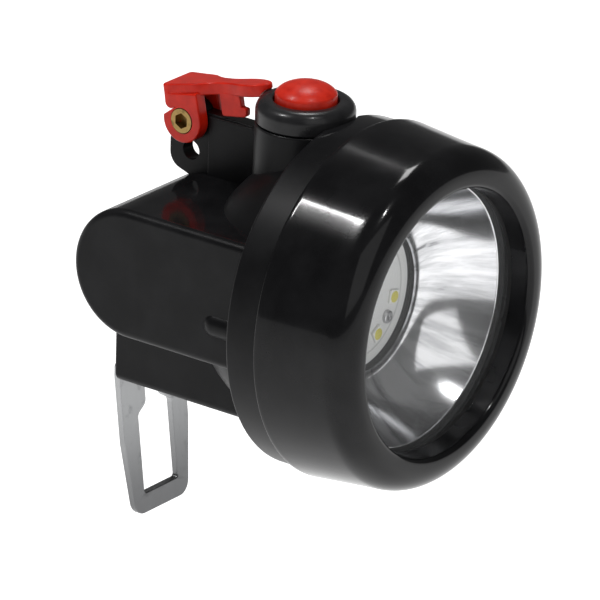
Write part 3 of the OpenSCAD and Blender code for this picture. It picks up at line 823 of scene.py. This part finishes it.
lever = {"tilt": 11, "lift": 4.6, "thick": 2.4, "back": 3.65, "earIn": 1.8, "earOut": 4.4,
         "earRadius": 4.3, "bore": 1.56, "counterbore": 2.5, "counterboreFrom": 3.2,
         "side": [(0, 3.6), (0.25, 4.15), (0.9, 4.4), (3.8, 3.92), (6.6, 3.5), (7.6, 3.22), (8.6, 2.65),
                  (9.8, 2.1), (11.2, 1.78), (12.8, 1.66), (14.2, 1.76), (15.5, 2.03), (16.8, 2.28),
                  (18, 2.36), (19.2, 2.25), (20.4, 1.9), (21.4, 1.4), (22.1, 0.8), (22.42, 0.3)]}


# Runs a smooth curve through the points of the lever's side
def smoothSide(points, steps=5):
    curve = []
    for i in range(len(points) - 1):
        p = [Vector(points[min(max(i + k, 0), len(points) - 1)]) for k in (-1, 0, 1, 2)]
        for s in range(steps):
            t = s / steps
            square = (2 * p[0] - 5 * p[1] + 4 * p[2] - p[3]) * t * t
            cube = (3 * p[1] - 3 * p[2] + p[3] - p[0]) * t ** 3
            curve.append(tuple(0.5 * (2 * p[1] + (p[2] - p[0]) * t + square + cube)))
    return curve + [points[-1]]


def tilted(piece):
    y, z = bracket["pivot"]
    pivot = toPart((0, y, z))
    turn = Matrix.Rotation(math.radians(-lever["tilt"]), 4, "X")
    piece.data.transform(Matrix.Translation(pivot) @ turn @ Matrix.Translation(-pivot))
    return piece


def leverPiece():
    y, z = bracket["pivot"]
    side = [(half, y + lever["back"] - s) for s, half in smoothSide(lever["side"])]
    outline = side + [(-half, along) for half, along in side[::-1]]
    under = z + lever["lift"]
    top = tilted(plate("leverTop", [outline], under, under + lever["thick"], 0.32, "XY"))
    ears = []
    for side in (-1, 1):
        low, high = sorted((side * lever["earIn"], side * lever["earOut"]))
        shape = rounded([(y - 4.2, z + 5.2, 0), (y + 3.35, z + 5.2, 0), (y + 3.5, z + 1.5, 1.2)]) \
            + arc(y, z, lever["earRadius"], 15, -180, 32)
        ears.append(tilted(plate("leverEar", [shape], low, high, 0.28, "YZ")))
    start, low = y - 12.35, z + lever["lift"] - 4.1
    tab = rounded([(start, low + 4.5, 0), (start, low + 1.9, 0.3), (start - 1.15, low + 1.6, 0.4),
                   (start - 0.9, low, 0.7), (start + 4.7, low + 0.1, 0.5), (start + 4.7, low + 4.5, 0)])
    tab = tilted(plate("leverTab", [tab], -1.75, -0.35, 0.18, "YZ"))
    combine(top, [*ears, tab], "UNION")
    bend, r = 2.2, ring["radius"]
    rim = [(0, 30), (r + 0.3, 30), (r + 0.3, 33.4)]
    rim += arc(r - bend, 33.4, bend + 0.3, 0, 90, 20) + [(0, 35.9)]
    cuts = [spin("rimCut", rim, 160, "Z", (0, switchY))]
    wide, start = lever["counterbore"], lever["counterboreFrom"]
    for r, low, high in ((lever["bore"], -6, 6), (wide, -6, -start), (wide, start, 6)):
        cuts.append(drill("boreCut", r, low, high, 64, "X", bracket["pivot"]))
    combine(top, cuts, "DIFFERENCE")
    weight(top, 30)
    top.name = "flipLever"
    return top


finished(leverPiece(), leverRed, "lever", "red_plastic", "latch_lever")
print("lever made")


hook = {"thick": 1.4, "lean": 7, "half": 9.8, "footHalf": 8, "long": 28.4, "tang": 7.8, "tangTop": 14,
        "shoulder": 2.6, "straight": 13.5, "window": 5.1, "lug": 2.5, "footBar": 3.9,
        "screwSide": 3.9, "screwUp": 9, "screwRadius": 1.6}


def hookPiece():
    y, seat = housing["blockBack"], housing["seat"]
    foot = seat - hook["long"]
    half, tang, lug, window = hook["half"], hook["tang"], hook["lug"], hook["window"]
    top, shoulder, straight = seat + hook["tangTop"], seat + hook["shoulder"], seat - hook["straight"]
    sill = foot + hook["footBar"]
    outline = rounded([
        (-tang, top, 0.8), (-tang, shoulder, 0.5), (-half, shoulder, 0.8), (-half, straight, 9),
        (-hook["footHalf"], foot, 2.9), (hook["footHalf"], foot, 2.9), (half, straight, 9),
        (half, shoulder, 0.8), (tang, shoulder, 0.5), (tang, top, 0.8)])
    opening = rounded([
        (-lug, seat - 2, 0.5), (-lug, seat - 7.2, 1.6), (-window, seat - 8.8, 1.2), (-window, sill, 0.6),
        (window, sill, 0.6), (window, seat - 8.8, 1.2), (lug, seat - 7.2, 1.6), (lug, seat - 2, 0.5)])
    holes = [arc(side * hook["screwSide"], seat + hook["screwUp"], hook["screwRadius"], 0, 350, 35)
             for side in (-1, 1)]
    outlines = [outline, opening, *holes]
    piece = plate("helmetHook", outlines, y, y + hook["thick"], 0.22, "XZ", rings=3)
    work = bmesh.new()
    work.from_mesh(piece.data)
    seatHeight = toPart((0, 0, seat)).z
    for cut in (0.6, 0, -0.6):
        everything = work.verts[:] + work.edges[:] + work.faces[:]
        bmesh.ops.bisect_plane(work, geom=everything, dist=1e-7, plane_no=(0, 0, 1),
                               plane_co=(0, 0, seatHeight + cut * mm))
    lean = math.tan(math.radians(hook["lean"]))
    for vertex in work.verts:
        vertex.co.y += lean * min(vertex.co.z - seatHeight, 0)
    bmesh.ops.triangulate(work, faces=[f for f in work.faces if len(f.verts) > 4])
    work.to_mesh(piece.data)
    work.free()
    weight(piece, 30)
    return piece


finished(hookPiece(), stainless, "lamp", "stainless", "hook")
print("hook made")


# The CAD's own pieces, most of them inside, only get a finish.
cellEnds = (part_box("cell_rear")[1].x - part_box("cell_rear")[0].x) / 2 / mm
finishes = {
    sealRubber: ("bezel_seal", "lens_gasket", "switch_seal"),
    whiteBoard(): ("led_board",),
    machined: ("heat_sink",),
    greenBoard(): ("driver_board",),
    blackSatin: ("driver_components", "cell_cradle", "switch_body"),
    cellSleeve(cellEnds): ("cell_front", "cell_rear"),
    nickel: ("cell_tabs", "button_spring"),
    leadRed: ("battery_leads",),
    brass: ("pivot_pin", "pivot_nut"),
    screwSteel: ("hook_screws",)}
for material, names in finishes.items():
    for name in names:
        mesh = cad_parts[name].data
        mesh.materials.clear()
        mesh.materials.append(material)
print("CAD pieces painted")


# Sizes and distances here are in metres. Each light has an azimuth, elevation, distance, width, height,
# power and turn.
studio = {"floorDrop": 0.12, "floorSize": 9, "floorGlow": 1.0, "world": 0.12,
          "lights": {"streakBack": (-138, 57, 0.9, 0.022, 0.17, 3, 20),
                     "streakFront": (-23, 69, 0.9, 0.03, 0.07, 1.4, 0),
                     "farSoftbox": (125, 62, 1.2, 0.2, 0.35, 4, 0),
                     "frontFill": (-30, 30, 1.6, 1.3, 1.3, 5, 0)}}


def areaLight(name, azimuth, elevation, distance, width, height, power, turn):
    data = bpy.data.lights.new(name, "AREA")
    data.shape, data.size, data.size_y, data.energy = "RECTANGLE", width, height, power
    a, e = math.radians(azimuth), math.radians(elevation)
    back = Vector((math.sin(a) * math.cos(e), -math.cos(a) * math.cos(e), math.sin(e)))
    light = bpy.data.objects.new(name, data)
    facing = back.to_track_quat("Z", "Y").to_matrix().to_4x4()
    light.matrix_world = (Matrix.Translation(lampCentre + back * distance) @ facing
                          @ Matrix.Rotation(math.radians(turn), 4, "Z"))
    scene.collection.objects.link(light)


def studioSet():
    mesh = bpy.data.meshes.new("floor")
    half, low = studio["floorSize"] / 2, cadLow.z - studio["floorDrop"]
    corners = [(-half, -half, low), (half, -half, low), (half, half, low), (-half, half, low)]
    mesh.from_pydata(corners, [], [(0, 1, 2, 3)])
    mesh.materials.append(studioFloor())
    floor = bpy.data.objects.new("floor", mesh)
    scene.collection.objects.link(floor)
    world = bpy.data.worlds.new("studio")
    world.use_nodes = True
    world.node_tree.nodes["Background"].inputs["Color"].default_value = (1, 1, 1, 1)
    world.node_tree.nodes["Background"].inputs["Strength"].default_value = studio["world"]
    scene.world = world
    for name, settings in studio["lights"].items():
        areaLight(name, *settings)


studioSet()
scene.view_settings.view_transform = "Standard"
print("studio lit")
